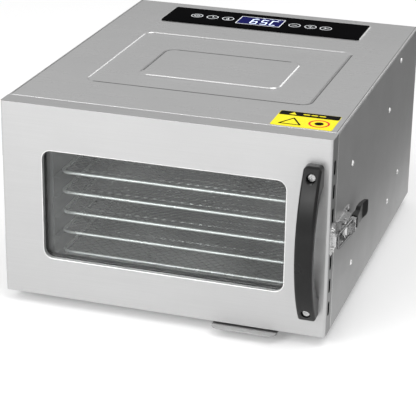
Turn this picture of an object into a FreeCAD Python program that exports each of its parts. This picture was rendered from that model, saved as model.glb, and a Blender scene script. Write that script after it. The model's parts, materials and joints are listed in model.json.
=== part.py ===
import FreeCAD, Part
import math
import os

# A six-level food dehydrator. Millimetres.
# It is modelled with x = 0 at the middle of its width, y = 0 at the door's front face and z = 0 at the
# underside of the case. save() then moves every piece so that the origin is the centre of the footprint
# of the whole object, on the surface it stands on. +X is the object's latch side, -Y its front, +Z up.

# Driving dimensions
WIDTH = 340.0
DEPTH = 410.0
HEIGHT = 206.0
SHEET = 1.0
DOOR_DEPTH = 21.0
DOOR_GAP = 1.0
FOOT_HEIGHT = 12.0
FOOT_SPOTS = ((-141.0, 35.2), (141.0, 35.2), (-141.0, 376.0), (141.0, 376.0))
RACK_COUNT = 5
RACK_PITCH = 22.0
RACK_LOW_Z = 34.0
RACK_HALF = 125.0
RACK_FRONT = 38.0
RACK_BACK = 306.0
WIRE = 2.0
RACK_REST = 0.2
HANDLE_REACH = 35.0
LATCH_REACH = 14.0
HINGE_REACH = 6.4
INLET_FLANGE = 2.0

# The case and the chamber in it
HALF = WIDTH / 2
CASE_FRONT = DOOR_DEPTH + DOOR_GAP
CHAMBER_HALF = 128.0
CHAMBER_FLOOR = 22.0
CHAMBER_TOP = 162.0
BAFFLE_Y = 311.0
MOTOR_PLATE_Y = 360.0
FAN_Z = (CHAMBER_FLOOR + CHAMBER_TOP) / 2

# The door's window
WINDOW_HALF = 126.2
WINDOW_LOW = 42.5
WINDOW_TOP = 159.0
WINDOW_RADIUS = 9.5

# The slots in the door's right flange
SLOT_COUNT = 7
SLOT_LENGTH = 14.6
SLOT_PITCH = 24.55
SLOT_LOW_Z = 27.6

# The hinge line and the latch
HINGE_X = -HALF - 3.4
HINGE_Y = DOOR_DEPTH + DOOR_GAP / 2
HINGE_RADIUS = 3.0
HINGE_PIN = 1.5
HINGE_LEAF = 40.0
HINGE_HEIGHTS = (40.0, 166.0)
LATCH_Z = 101.0
LEVER_PIN_Y = 40.0
LEVER_PIN_X = HALF + 6.0
LOOP_PIN_Y = 50.0
LOOP_PIN_X = HALF + 11.0
LOOP_BAR_Y = 7.0
LOOP_BAR_X = HALF + 7.4
LOOP_WIRE = 1.2
LOOP_HALF = 7.6
KEEPER_SCREW = 10.5
LEVER_HALF = 5.4
EAR_HALF = 9.6
GRIP_HALF = 8.5
NECK_HALF = 6.2
RUNNING = 0.05

# The handle
HANDLE_X = 153.5
HANDLE_HALF = 9.0
HANDLE_LOW = 20.5
HANDLE_TOP = 180.5
HANDLE_SCREWS = (30.5, 170.5)

# Where the origin lies: the middle of the whole object's box, on the surface it stands on
ORIGIN_X = (LATCH_REACH - HINGE_REACH) / 2
ORIGIN_Y = (DEPTH + INLET_FLANGE - HANDLE_REACH) / 2

X_AXIS = FreeCAD.Vector(1, 0, 0)
Y_AXIS = FreeCAD.Vector(0, 1, 0)
Z_AXIS = FreeCAD.Vector(0, 0, 1)


def vec(x, y, z):
    return FreeCAD.Vector(x, y, z)


def box(low, high):
    """A block between two opposite corners."""
    return Part.makeBox(high[0] - low[0], high[1] - low[1], high[2] - low[2], vec(*low))


def soft_box(low, high, radius, axis):
    """A block whose four edges along an axis are rounded."""
    block = box(low, high)
    edges = [e for e in block.Edges if abs(e.tangentAt(e.FirstParameter).dot(axis)) > 0.99]
    return block.makeFillet(radius, edges)


def rod(start, axis, length, radius):
    """A round bar that starts at a point."""
    return Part.makeCylinder(radius, length, vec(*start), axis)


def fuse(shapes):
    """Several solids as one, with no seams left on shared faces."""
    if len(shapes) == 1:
        return shapes[0]
    return shapes[0].fuse(shapes[1:]).removeSplitter()


def cut(shape, tools):
    return shape.cut(Part.makeCompound(tools))


def mirror_x(shape):
    return shape.mirror(vec(0, 0, 0), X_AXIS)


def save(name, shape):
    """Write one piece, moved to the object's own origin."""
    placed = shape.copy()
    placed.translate(vec(-ORIGIN_X, -ORIGIN_Y, FOOT_HEIGHT))
    placed.exportStep("parts/" + name + ".step")
    solids = len(placed.Solids)
    print(name, solids, placed.isValid(), round(placed.Volume), placed.BoundBox)


def frame_ring(half, low, top, radius, inner_half, inner_low, inner_top, inner_radius, y0, y1):
    """A flat ring in the front plane, from y0 to y1."""
    outer = soft_box((-half, y0, low), (half, y1, top), radius, Y_AXIS)
    inner = soft_box(
        (-inner_half, y0 - 1, inner_low), (inner_half, y1 + 1, inner_top), inner_radius, Y_AXIS
    )
    return outer.cut(inner)


# --- The case -------------------------------------------------------------------------------------


def top_panel():
    """The top sheet with folded sides, a sunken rectangle and a raised one in it."""
    step = 1.3
    radius = 9.0
    z1 = HEIGHT
    z0 = z1 - SHEET
    sheet = box((-HALF + SHEET, CASE_FRONT, z0), (HALF - SHEET, DEPTH - SHEET, z1))
    sunk = ((-117.0, 90.0), (124.0, 283.0))
    raised = ((-75.0, 131.0), (80.0, 229.0))

    def slab(spot, grow, low, high):
        first = (spot[0][0] - grow, spot[0][1] - grow, low)
        last = (spot[1][0] + grow, spot[1][1] + grow, high)
        return soft_box(first, last, radius + grow, Z_AXIS)

    top = sheet.cut(slab(sunk, 0, z0 - 1, z1 + 1))
    sunk_skin = slab(sunk, SHEET, z0 - step, z1 - SHEET / 2).cut(slab(sunk, 0, z1 - step, z1))
    sunk_skin = sunk_skin.cut(slab(sunk, 0, z0 - step + SHEET, z1))
    hole = slab(raised, -SHEET, z0 - step - 1, z1 + 1)
    raised_skin = slab(raised, 0, z0 - step, z1).cut(slab(raised, -SHEET, z0 - step - 1, z0))
    side = box((HALF - 2 * SHEET, CASE_FRONT + 2, z0 - 11), (HALF - SHEET, DEPTH - 2, z0))
    hem = box((-HALF + 2 * SHEET, CASE_FRONT, z0 - 8), (HALF - 2 * SHEET, CASE_FRONT + SHEET, z0))
    opening = soft_box((-112, 337, z0 - 4), (111, 384, z1 + 1), 4.0, Z_AXIS)
    top = fuse([top, sunk_skin.cut(hole), raised_skin, side, mirror_x(side), hem])
    return top.cut(opening)


def side_panel():
    """The right side sheet, rounded where it meets the top."""
    panel = box((HALF - SHEET, CASE_FRONT, 0), (HALF, DEPTH, HEIGHT))
    edge = [
        e for e in panel.Edges
        if abs(e.CenterOfMass.z - HEIGHT) < 0.01 and abs(e.CenterOfMass.x - HALF) < 0.01
    ]
    return panel.makeFillet(SHEET * 0.9, edge)


def base_pan():
    """The bottom sheet with folded sides and two rows of air slots."""
    x = HALF - SHEET
    floor = box((-x, CASE_FRONT, 0), (x, DEPTH - SHEET, SHEET))
    side = box((x - SHEET, CASE_FRONT + 2, 0), (x, DEPTH - 2, 12))
    front = box((-x + SHEET, CASE_FRONT, 0), (x - SHEET, CASE_FRONT + SHEET, 12))
    slots = []
    for row in (-100.0, 20.0):
        for i in range(9):
            start = row + i * 9.0
            slots.append(soft_box((start, 320, -1), (start + 4, 352, 2), 1.9, Z_AXIS))
    return cut(fuse([floor, side, mirror_x(side), front]), slots)


def rear_cover():
    """The back sheet with louvres and the cut-out of the power inlet."""
    x = HALF - SHEET
    sheet = box((-x, DEPTH - SHEET, 0), (x, DEPTH, HEIGHT - SHEET))
    slots = []
    for row in (-60.0, 4.0):
        for i in range(9):
            z = FAN_Z - 36 + i * 9.0
            low = (row, DEPTH - 2, z)
            slots.append(soft_box(low, (row + 56, DEPTH + 1, z + 4), 1.9, Y_AXIS))
    slots.append(box((100, DEPTH - 2, 20), (130, DEPTH + 1, 42)))
    return cut(sheet, slots)


def front_frame():
    """The flat frame round the chamber's mouth, behind the door."""
    outer = box((-HALF + SHEET, CASE_FRONT + SHEET, 12), (HALF - SHEET, CASE_FRONT + 2.2, 197))
    mouth = soft_box(
        (-CHAMBER_HALF, 0, CHAMBER_FLOOR), (CHAMBER_HALF, 60, CHAMBER_TOP), 3.0, Y_AXIS
    )
    return outer.cut(mouth)


def liner_walls():
    """The chamber's left, right, top and floor sheets, up to the motor plate."""
    y0 = CASE_FRONT + 2.2
    y1 = MOTOR_PLATE_Y
    right = box((CHAMBER_HALF, y0, CHAMBER_FLOOR), (CHAMBER_HALF + SHEET, y1, CHAMBER_TOP))
    x = CHAMBER_HALF + SHEET
    top = box((-x, y0, CHAMBER_TOP), (x, y1, CHAMBER_TOP + SHEET))
    floor = box((-x, y0, CHAMBER_FLOOR - SHEET), (x, y1, CHAMBER_FLOOR))
    return {"liner_right": right, "liner_left": mirror_x(right), "liner_top": top, "liner_floor": floor}


def rack_height(level):
    return RACK_LOW_Z + level * RACK_PITCH


def rack_rails():
    """A folded ledge for each rack, on a plate that lies on the liner's right wall."""
    y0 = RACK_FRONT - 8
    y1 = RACK_BACK
    plate = box((CHAMBER_HALF - 0.8, y0, CHAMBER_FLOOR + 1), (CHAMBER_HALF, y1, CHAMBER_TOP - 8))
    ledges = [plate]
    for level in range(RACK_COUNT):
        z = rack_height(level) - WIRE - RACK_REST
        ledges.append(box((CHAMBER_HALF - 7, y0, z - 1), (CHAMBER_HALF - 0.8, y1, z)))
    return fuse(ledges)


def fan_baffle():
    """The perforated sheet between the chamber and the fan."""
    sheet = box(
        (-CHAMBER_HALF, BAFFLE_Y, CHAMBER_FLOOR), (CHAMBER_HALF, BAFFLE_Y + SHEET, CHAMBER_TOP)
    )
    holes = []
    for i in range(-13, 14):
        for j in range(-6, 7):
            holes.append(rod((i * 9.0, BAFFLE_Y - 1, FAN_Z + j * 9.5), Y_AXIS, 3, 2.2))
    return cut(sheet, holes)


def motor_plate():
    sheet = box(
        (-CHAMBER_HALF - SHEET, MOTOR_PLATE_Y, CHAMBER_FLOOR - SHEET),
        (CHAMBER_HALF + SHEET, MOTOR_PLATE_Y + SHEET, CHAMBER_TOP + SHEET),
    )
    return sheet.cut(rod((0, MOTOR_PLATE_Y - 1, FAN_Z), Y_AXIS, 4, 9.0))


def fan_motor():
    """A round motor bolted behind its plate, with its shaft through the plate."""
    can = rod((0, MOTOR_PLATE_Y + SHEET, FAN_Z), Y_AXIS, 28, 27)
    back_rim = [e for e in can.Edges if e.CenterOfMass.y > MOTOR_PLATE_Y + 28]
    can = can.makeFillet(2.5, back_rim)
    boss = rod((0, MOTOR_PLATE_Y - 2, FAN_Z), Y_AXIS, 4, 8)
    shaft = rod((0, MOTOR_PLATE_Y - 26, FAN_Z), Y_AXIS, 26, 2.5)
    return fuse([can, boss, shaft])


def fan_rotor():
    """A hub with nine slanted blades, free on the motor's shaft."""
    y0 = MOTOR_PLATE_Y - 24
    hub = rod((0, y0, FAN_Z), Y_AXIS, 16, 11)
    blades = [hub]
    for i in range(9):
        blade = box((9.0, -5.5, -0.6), (52.0, 5.5, 0.6))
        blade.rotate(vec(0, 0, 0), X_AXIS, 38)
        blade.rotate(vec(0, 0, 0), Y_AXIS, i * 40)
        blade.translate(vec(0, y0 + 8, FAN_Z))
        blades.append(blade)
    return fuse(blades).cut(rod((0, y0 - 1, FAN_Z), Y_AXIS, 18, 2.5 + RUNNING))


def heating_element():
    """A ring of heating rod round the fan, with two straight ends through the motor plate."""
    ring = Part.makeTorus(61, 2.8, vec(0, MOTOR_PLATE_Y - 18, FAN_Z), Y_AXIS)
    ends = [rod((s * 8.0, MOTOR_PLATE_Y - 18, FAN_Z - 60.5), Y_AXIS, 18, 2.8) for s in (-1, 1)]
    return fuse([ring] + ends)


def heater_supports():
    """Four ceramic posts that hold the heating ring on the motor plate."""
    posts = []
    for i in range(4):
        a = math.radians(45 + 90 * i)
        x = 61 * math.cos(a)
        z = FAN_Z + 61 * math.sin(a)
        posts.append(rod((x, MOTOR_PLATE_Y - 15.2, z), Y_AXIS, 15.2, 4))
    return Part.makeCompound(posts)


def thermal_cutout():
    body = rod((86, MOTOR_PLATE_Y - 7, FAN_Z + 30), Y_AXIS, 7, 8)
    tab = box((78, MOTOR_PLATE_Y - 2, FAN_Z + 20), (94, MOTOR_PLATE_Y, FAN_Z + 40))
    return fuse([body, tab])


def temperature_probe():
    return rod((-80, BAFFLE_Y - 14, CHAMBER_TOP - 14), Y_AXIS, 14, 2.5)


def control_glass():
    return soft_box((-117.5, 330.5, HEIGHT), (117.5, 390.5, HEIGHT + 1.2), 6.0, Z_AXIS)


def display_module():
    return box((-31, 345, HEIGHT - 9), (30, 381, HEIGHT - 2))


def control_board():
    low = HEIGHT - 11
    board = box((-120, 330.5, low), (119, 391.5, low + 2))
    chips = [box((x, 347, low + 2), (x + 12, 359, low + 4)) for x in (-85, -60, 50, 75)]
    posts = [rod((x, y, low + 2), Z_AXIS, 8, 2.2) for x in (-116.5, 115.5) for y in (334, 388)]
    return fuse([board] + chips + posts)


def power_board():
    """Relay, transformer and terminals on a board that stands on the base."""
    board = box((-100, 366, 6), (-20, 404, 8))
    legs = [rod((x, y, SHEET), Z_AXIS, 5, 3) for x in (-94, -26) for y in (372, 398)]
    blocks = [
        box((-92, 372, 8), (-70, 396, 28)),
        box((-62, 374, 8), (-46, 394, 24)),
        box((-40, 372, 8), (-24, 398, 18)),
    ]
    return fuse([board] + legs + blocks)


def power_inlet():
    """The mains socket in the back, with three contact blades."""
    shell = box((101, DEPTH - 20, 21), (129, DEPTH, 41))
    flange = soft_box((96, DEPTH, 17), (134, DEPTH + INLET_FLANGE, 45), 3.0, Y_AXIS)
    mouth = soft_box((103, DEPTH - 17, 23), (127, DEPTH + 3, 39), 3.0, Y_AXIS)
    blades = [
        box((108, DEPTH - 18, 27), (110, DEPTH - 7, 31)),
        box((120, DEPTH - 18, 27), (122, DEPTH - 7, 31)),
        box((114, DEPTH - 18, 32), (116, DEPTH - 7, 36)),
    ]
    return fuse([fuse([shell, flange]).cut(mouth)] + blades)


def feet():
    """Four rubber feet, each a short cone frustum with a screw hole."""
    made = {}
    for i, (x, y) in enumerate(FOOT_SPOTS):
        cone = Part.makeCone(10.5, 12.0, FOOT_HEIGHT, vec(x, y, -FOOT_HEIGHT), Z_AXIS)
        hole = rod((x, y, -FOOT_HEIGHT), Z_AXIS, FOOT_HEIGHT, 2.2)
        recess = rod((x, y, -FOOT_HEIGHT), Z_AXIS, 5, 5)
        made["foot_%d" % (i + 1)] = cone.cut(hole).cut(recess)
    return made


def foot_screws():
    screws = []
    for x, y in FOOT_SPOTS:
        head = rod((x, y, -FOOT_HEIGHT + 3), Z_AXIS, 2, 4)
        shank = rod((x, y, -FOOT_HEIGHT + 5), Z_AXIS, FOOT_HEIGHT - 5, 2)
        screws.append(fuse([head, shank]))
    return Part.makeCompound(screws)


def rivet(x, y, z, facing):
    """A domed rivet head on a side panel."""
    ball = Part.makeSphere(4.1, vec(x - facing * 2.6, y, z))
    keep = rod((x, y, z), vec(facing, 0, 0), 4, 6)
    return ball.common(keep)


def case_rivets():
    spots = [(88, 152), (103, 38), (264, 151), (280, 38), (314, 193), (331, 55)]
    rivets = [rivet(HALF, y, z, 1) for y, z in spots]
    rivets += [rivet(-HALF, y, z, -1) for y, z in spots]
    return Part.makeCompound(rivets)


def info_label():
    return soft_box((101, 24.5, HEIGHT), (162, 67, HEIGHT + 0.3), 2.0, Z_AXIS)


def guide_rails():
    """Two angle strips under the base that hold the guide plate."""
    left = fuse([box((50, 40, -3.2), (54.6, 240, 0)), box((50, 40, -4.2), (58, 240, -3.2))])
    right = fuse([box((122.4, 40, -3.2), (127, 240, 0)), box((119, 40, -4.2), (127, 240, -3.2))])
    return Part.makeCompound([left, right])


def guide_plate():
    """The thin plate with a rounded pull tab, stored under the base."""
    return soft_box((55, -11, -2.8), (122, 236, -1.6), 8.0, Z_AXIS)


# --- The hinges -----------------------------------------------------------------------------------


def hinge_leaf(low, side):
    """One leaf: side is 1 for the case's leaf and -1 for the door's. The door has the middle knuckle."""
    third = HINGE_LEAF / 3
    gap = 0.3
    y_near = HINGE_Y + side * (HINGE_RADIUS + 0.3)
    y_far = HINGE_Y + side * 17
    plate = box((-HALF - 1.2, min(y_near, y_far), low), (-HALF, max(y_near, y_far), low + HINGE_LEAF))
    if side > 0:
        spans = [(low, low + third - gap), (low + 2 * third + gap, low + HINGE_LEAF)]
    else:
        spans = [(low + third, low + 2 * third)]
    pieces = [plate]
    for z0, z1 in spans:
        pieces.append(rod((HINGE_X, HINGE_Y, z0), Z_AXIS, z1 - z0, HINGE_RADIUS))
        pieces.append(box((-HALF - 1.2, min(HINGE_Y, y_near), z0), (-HALF - 0.4, max(HINGE_Y, y_near), z1)))
    leaf = fuse(pieces)
    bore = HINGE_PIN if side > 0 else HINGE_PIN + RUNNING
    leaf = leaf.cut(rod((HINGE_X, HINGE_Y, low - 1), Z_AXIS, HINGE_LEAF + 2, bore))
    heads = [
        rivet(-HALF - 1.2, HINGE_Y + side * 10, low + z, -1) for z in (8, HINGE_LEAF - 8)
    ]
    return fuse([leaf] + heads)


def hinge_leaves(side):
    return Part.makeCompound([hinge_leaf(z - HINGE_LEAF / 2, side) for z in HINGE_HEIGHTS])


def hinge_pins():
    pins = []
    for z in HINGE_HEIGHTS:
        low = z - HINGE_LEAF / 2
        shank = rod((HINGE_X, HINGE_Y, low), Z_AXIS, HINGE_LEAF + 1, HINGE_PIN)
        head = rod((HINGE_X, HINGE_Y, low + HINGE_LEAF), Z_AXIS, 1.5, 2.6)
        pins.append(fuse([shank, head]))
    return Part.makeCompound(pins)


# --- The door -------------------------------------------------------------------------------------


def door_shell():
    """The door's outer sheet: a tray with a window, a rolled window edge and slots on the right."""
    block = soft_box((-HALF, 0, 0), (HALF, DOOR_DEPTH, HEIGHT), 3.0, Z_AXIS)
    back = box((-HALF, DOOR_DEPTH / 2, 0), (HALF, DOOR_DEPTH, HEIGHT))
    block = fuse([block, back])
    hollow = soft_box(
        (-HALF + SHEET, SHEET, SHEET), (HALF - SHEET, DOOR_DEPTH + 1, HEIGHT - SHEET), 2.0, Z_AXIS
    )
    shell = block.cut(hollow)
    lip = frame_ring(
        WINDOW_HALF + SHEET, WINDOW_LOW - SHEET, WINDOW_TOP + SHEET, WINDOW_RADIUS + SHEET,
        WINDOW_HALF, WINDOW_LOW, WINDOW_TOP, WINDOW_RADIUS, 0, 5.0,
    )
    window = soft_box((-WINDOW_HALF, -1, WINDOW_LOW), (WINDOW_HALF, 6, WINDOW_TOP), WINDOW_RADIUS, Y_AXIS)
    slots = []
    for i in range(SLOT_COUNT):
        z = SLOT_LOW_Z + i * SLOT_PITCH
        low = (HALF - 2, 7.2, z - SLOT_LENGTH / 2)
        slots.append(soft_box(low, (HALF + 1, 13.8, z + SLOT_LENGTH / 2), 3.0, X_AXIS))
    for z in HANDLE_SCREWS:
        slots.append(rod((HANDLE_X, -1, z), Y_AXIS, 3, 2.6))
    return cut(fuse([shell.cut(window), lip]), slots)


def door_inner_pan():
    """The sheet that closes the door's back, with a collar that holds the glass."""
    y1 = DOOR_DEPTH - 0.2
    y0 = y1 - SHEET
    x = HALF - SHEET - 0.2
    sheet = box((-x, y0, SHEET + 0.2), (x, y1, HEIGHT - SHEET - 0.2))
    window = soft_box((-128, y0 - 1, 38.5), (128, y1 + 1, 163), 8.0, Y_AXIS)
    collar = frame_ring(128, 38.5, 163, 8.0, 127, 39.5, 162, 7.0, 10.6, y1)
    return fuse([sheet.cut(window), collar])


def door_glass():
    return soft_box((-132, 5.8, 36.5), (132, 9.8, 165), 6.0, Y_AXIS)


def glass_gasket():
    """The rubber channel round the edge of the glass."""
    ring = frame_ring(135, 33.5, 168, 8.0, 125.4, 41.7, 159.8, 9.0, 5.0, 10.6)
    return ring.cut(door_glass())


def door_seal():
    """The soft seal on the door's back, round the chamber's mouth."""
    return frame_ring(142, 15.5, 176, 8.0, 134, 18.5, 168.5, 5.0, DOOR_DEPTH - 0.2, DOOR_DEPTH + 0.7)


def arc(points):
    return Part.Arc(*[vec(0, y, z) for y, z in points]).toShape()


def line(first, last):
    return Part.LineSegment(vec(0, *first), vec(0, *last)).toShape()


def handle():
    """A bow handle: its profile runs up the door and is given its width sideways."""
    middle = (HANDLE_LOW + HANDLE_TOP) / 2
    outer_low = (-11.0, HANDLE_LOW + 2)
    outer_top = (-11.0, HANDLE_TOP - 2)
    edges = [
        arc([outer_low, (-HANDLE_REACH, middle), outer_top]),
        arc([outer_top, (-9.0, HANDLE_TOP - 0.4), (-7.0, HANDLE_TOP)]),
        line((-7.0, HANDLE_TOP), (0.0, HANDLE_TOP)),
        line((0.0, HANDLE_TOP), (0.0, HANDLE_TOP - 21)),
        line((0.0, HANDLE_TOP - 21), (-5.0, HANDLE_TOP - 24)),
        arc([(-5.0, HANDLE_TOP - 24), (-HANDLE_REACH + 9, middle), (-5.0, HANDLE_LOW + 24)]),
        line((-5.0, HANDLE_LOW + 24), (0.0, HANDLE_LOW + 21)),
        line((0.0, HANDLE_LOW + 21), (0.0, HANDLE_LOW)),
        line((0.0, HANDLE_LOW), (-7.0, HANDLE_LOW)),
        arc([(-7.0, HANDLE_LOW), (-9.0, HANDLE_LOW + 0.4), outer_low]),
    ]
    profile = Part.Face(Part.Wire(Part.__sortEdges__(edges)))
    bow = profile.extrude(vec(2 * HANDLE_HALF, 0, 0))
    long_edges = [e for e in bow.Edges if e.Length > 60 and abs(e.tangentAt(e.FirstParameter).x) < 0.1]
    bow = bow.makeFillet(2.5, long_edges)
    bow.translate(vec(HANDLE_X - HANDLE_HALF, 0, 0))
    ends = soft_box(
        (HANDLE_X - HANDLE_HALF, -60, HANDLE_LOW), (HANDLE_X + HANDLE_HALF, 1, HANDLE_TOP), 4.5, Y_AXIS
    )
    bow = bow.common(ends)
    holes = []
    for z in HANDLE_SCREWS:
        holes.append(rod((HANDLE_X, -60, z), Y_AXIS, 50.5, 4.8))
        holes.append(rod((HANDLE_X, -60, z), Y_AXIS, 62, 2.4))
    return cut(bow, holes)


def handle_screws():
    """Two pan-head screws sunk in the handle's ends."""
    screws = []
    for z in HANDLE_SCREWS:
        head = rod((HANDLE_X, -12.0, z), Y_AXIS, 2.5, 3.6)
        cross = [
            box((HANDLE_X - 2.2, -13, z - 0.5), (HANDLE_X + 2.2, -11, z + 0.5)),
            box((HANDLE_X - 0.5, -13, z - 2.2), (HANDLE_X + 0.5, -11, z + 2.2)),
        ]
        shank = rod((HANDLE_X, -9.5, z), Y_AXIS, 14.5, 2.2)
        screws.append(fuse([head, shank]).cut(Part.makeCompound(cross)))
    return Part.makeCompound(screws)


# --- The latch ------------------------------------------------------------------------------------


def latch_keeper():
    """The plate on the door's flange, with a hook that the loop lies over."""
    plate = soft_box((HALF, 3, LATCH_Z - 14.5), (HALF + 1.2, 20, LATCH_Z + 14.5), 2.0, X_AXIS)
    hook = box((HALF, 9, LATCH_Z - 5.5), (HALF + 5.6, 13.5, LATCH_Z + 5.5))
    lip = box((HALF + 4.2, 6, LATCH_Z - 5.5), (HALF + 5.6, 9, LATCH_Z + 5.5))
    holes = [rod((HALF - 1, 11, LATCH_Z + s * KEEPER_SCREW), X_AXIS, 4, 1.6) for s in (-1, 1)]
    return cut(fuse([plate, hook, lip]), holes)


def keeper_screws():
    screws = []
    for s in (-1, 1):
        z = LATCH_Z + s * KEEPER_SCREW
        head = rod((HALF + 1.2, 11, z), X_AXIS, 1.3, 2.8)
        shank = rod((HALF - 0.0, 11, z), X_AXIS, 1.2, 1.6)
        groove = box((HALF + 1.9, 8, z - 0.4), (HALF + 3, 14, z + 0.4))
        screws.append(fuse([head, shank]).cut(groove))
    return Part.makeCompound(screws)


def latch_base():
    """A plate on the side panel with two ears that hold the lever's pin."""
    plate = soft_box((HALF, 29, LATCH_Z - 12), (HALF + 1.2, 78, LATCH_Z + 12), 2.5, X_AXIS)
    pieces = [plate]
    for s in (-1, 1):
        z = LATCH_Z + s * (EAR_HALF + 0.6)
        ear = box((HALF, 33, z - 0.6), (HALF + 9, 58, z + 0.6))
        corner = [
            e for e in ear.Edges
            if abs(e.CenterOfMass.x - HALF - 9) < 0.01 and abs(e.tangentAt(e.FirstParameter).z) > 0.9
        ]
        pieces.append(ear.makeFillet(3.5, corner))
        for y in (64, 73):
            pieces.append(rivet(HALF + 1.2, y, LATCH_Z + s * 7.5, 1))
    pin_hole = rod((LEVER_PIN_X, LEVER_PIN_Y, LATCH_Z - 15), Z_AXIS, 30, 1.5)
    return fuse(pieces).cut(pin_hole)


def latch_pin():
    reach = EAR_HALF + 1.9
    return rod((LEVER_PIN_X, LEVER_PIN_Y, LATCH_Z - reach), Z_AXIS, 2 * reach, 1.5)


def lever_profile(points, low, high):
    """A closed outline in the plane of the floor, given its height."""
    wire = Part.makePolygon([vec(HALF + u, y, low) for u, y in points + points[:1]])
    return Part.Face(wire).extrude(vec(0, 0, high - low))


def latch_lever():
    """The steel arm: two bosses, a web between them and a tail that slopes outwards."""
    low = LATCH_Z - LEVER_HALF
    high = LATCH_Z + LEVER_HALF
    boss = rod((LEVER_PIN_X, LEVER_PIN_Y, low), Z_AXIS, high - low, 3.2)
    knee = rod((LOOP_PIN_X, LOOP_PIN_Y, low), Z_AXIS, high - low, 3.0)
    web = lever_profile([(3.2, 41.5), (8.4, 38.0), (13.6, 48.5), (8.6, 52.0)], low, high)
    tail = lever_profile([(11.0, 47.0), (13.6, 51.0), (10.8, 90.0), (9.2, 90.0), (7.6, 52.0)], low, high)
    arm = fuse([boss, knee, web, tail])
    holes = [
        rod((LEVER_PIN_X, LEVER_PIN_Y, low - 1), Z_AXIS, 15, 1.5 + RUNNING),
        rod((LOOP_PIN_X, LOOP_PIN_Y, low - 1), Z_AXIS, 5.2, LOOP_WIRE + RUNNING),
        rod((LOOP_PIN_X, LOOP_PIN_Y, high - 4.2), Z_AXIS, 5.2, LOOP_WIRE + RUNNING),
    ]
    return cut(arm, holes)


def latch_grip():
    """The moulded tip on the lever's tail, curved away from the case."""
    inner = [(LATCH_REACH - 2.0, 110.0), (8.0, 92.0), (7.0, 64.0)]
    outer = [(13.6, 62.0), (12.2, 80.0), (11.8, 92.0), (LATCH_REACH, 108.0)]
    grip = lever_profile(outer + inner, LATCH_Z - GRIP_HALF, LATCH_Z + GRIP_HALF)
    paddle = soft_box(
        (HALF, 76, LATCH_Z - GRIP_HALF), (HALF + 30, 110, LATCH_Z + GRIP_HALF), 7.5, X_AXIS
    )
    neck = box((HALF, 60, LATCH_Z - NECK_HALF), (HALF + 30, 95, LATCH_Z + NECK_HALF))
    grip = grip.common(fuse([paddle, neck]))
    return grip.cut(latch_lever())


def latch_loop():
    """A bent wire: a cross bar over the keeper, two legs and two ends in the lever."""
    low = LATCH_Z - LOOP_HALF
    high = LATCH_Z + LOOP_HALF
    bend = 3.0
    along = vec(LOOP_PIN_X - LOOP_BAR_X, LOOP_PIN_Y - LOOP_BAR_Y, 0)
    length = along.Length
    unit = along.normalize()
    bar = vec(LOOP_BAR_X, LOOP_BAR_Y, 0)

    def at(distance, z):
        return bar + unit * distance + vec(0, 0, z)

    def corner(first, turn, last):
        middle = (first + last) * 0.5
        middle = turn + (middle - turn).normalize() * (bend * (math.sqrt(2) - 1))
        return Part.Arc(first, middle, last).toShape()

    def run(first, last):
        return Part.LineSegment(first, last).toShape()

    stub = 3.0
    tip = LATCH_Z - LEVER_HALF + stub
    other_tip = LATCH_Z + LEVER_HALF - stub
    edges = [
        run(at(length, tip), at(length, low + 1.5)),
        run(at(length - 1.5, low), at(bend, low)),
        corner(at(bend, low), at(0, low), at(0, low + bend)),
        run(at(0, low + bend), at(0, high - bend)),
        corner(at(0, high - bend), at(0, high), at(bend, high)),
        run(at(bend, high), at(length - 1.5, high)),
        run(at(length, high - 1.5), at(length, other_tip)),
    ]
    small = 1.5
    for z, sign in ((low, 1), (high, -1)):
        first = at(length, z + sign * small)
        last = at(length - small, z)
        turn = at(length, z)
        middle = (first + last) * 0.5
        middle = turn + (middle - turn).normalize() * (small * (math.sqrt(2) - 1))
        edges.append(Part.Arc(first, middle, last).toShape())
    path = Part.Wire(Part.__sortEdges__(edges))
    section = Part.Wire([Part.makeCircle(LOOP_WIRE, at(length, tip), Z_AXIS)])
    return path.makePipeShell([section], True, False)


# --- The racks ------------------------------------------------------------------------------------


def rack(level):
    """A rack: a round frame, five cross bars under it and wires along it."""
    z = rack_height(level)
    outer = soft_box(
        (-RACK_HALF, RACK_FRONT, z - WIRE), (RACK_HALF, RACK_BACK, z + WIRE), 10.0, Z_AXIS
    )
    inner = soft_box(
        (-RACK_HALF + 2 * WIRE, RACK_FRONT + 2 * WIRE, z - 9),
        (RACK_HALF - 2 * WIRE, RACK_BACK - 2 * WIRE, z + 9), 6.0, Z_AXIS,
    )
    ring = outer.cut(inner)
    rims = [e for e in ring.Edges if abs(e.tangentAt(e.FirstParameter).z) < 0.1]
    ring = ring.makeFillet(WIRE * 0.9, rims)
    bars = [ring]
    for i in range(1, 6):
        y = RACK_FRONT + (RACK_BACK - RACK_FRONT) * i / 6
        bars.append(rod((-RACK_HALF + WIRE, y, z - 0.5), X_AXIS, 2 * (RACK_HALF - WIRE), 1.2))
    count = 20
    for i in range(1, count):
        x = -RACK_HALF + 2 * RACK_HALF * i / count
        bars.append(rod((x, RACK_FRONT + WIRE, z + 0.6), Y_AXIS, RACK_BACK - RACK_FRONT - 2 * WIRE, 0.7))
    return fuse(bars)


def drip_tray():
    """A shallow tray on the chamber's floor with a flat rim and an embossed floor."""
    z0 = CHAMBER_FLOOR + 0.3
    z1 = RACK_LOW_Z - 4.2
    x = RACK_HALF - 4
    pan = soft_box((-x, RACK_FRONT + 3, z0), (x, RACK_BACK, z1), 10.0, Z_AXIS)
    inside = soft_box(
        (-x + SHEET, RACK_FRONT + 3 + SHEET, z0 + SHEET), (x - SHEET, RACK_BACK - SHEET, z1 + 1), 9.0, Z_AXIS
    )
    rim = soft_box((-x - 4, RACK_FRONT - 1, z1 - SHEET), (x + 4, RACK_BACK + 3, z1), 13.0, Z_AXIS)
    ridge = soft_box((-70, 110, z0 + SHEET), (70, 240, z0 + SHEET + 0.8), 8.0, Z_AXIS)
    return fuse([fuse([pan, rim]).cut(inside), ridge])


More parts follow.
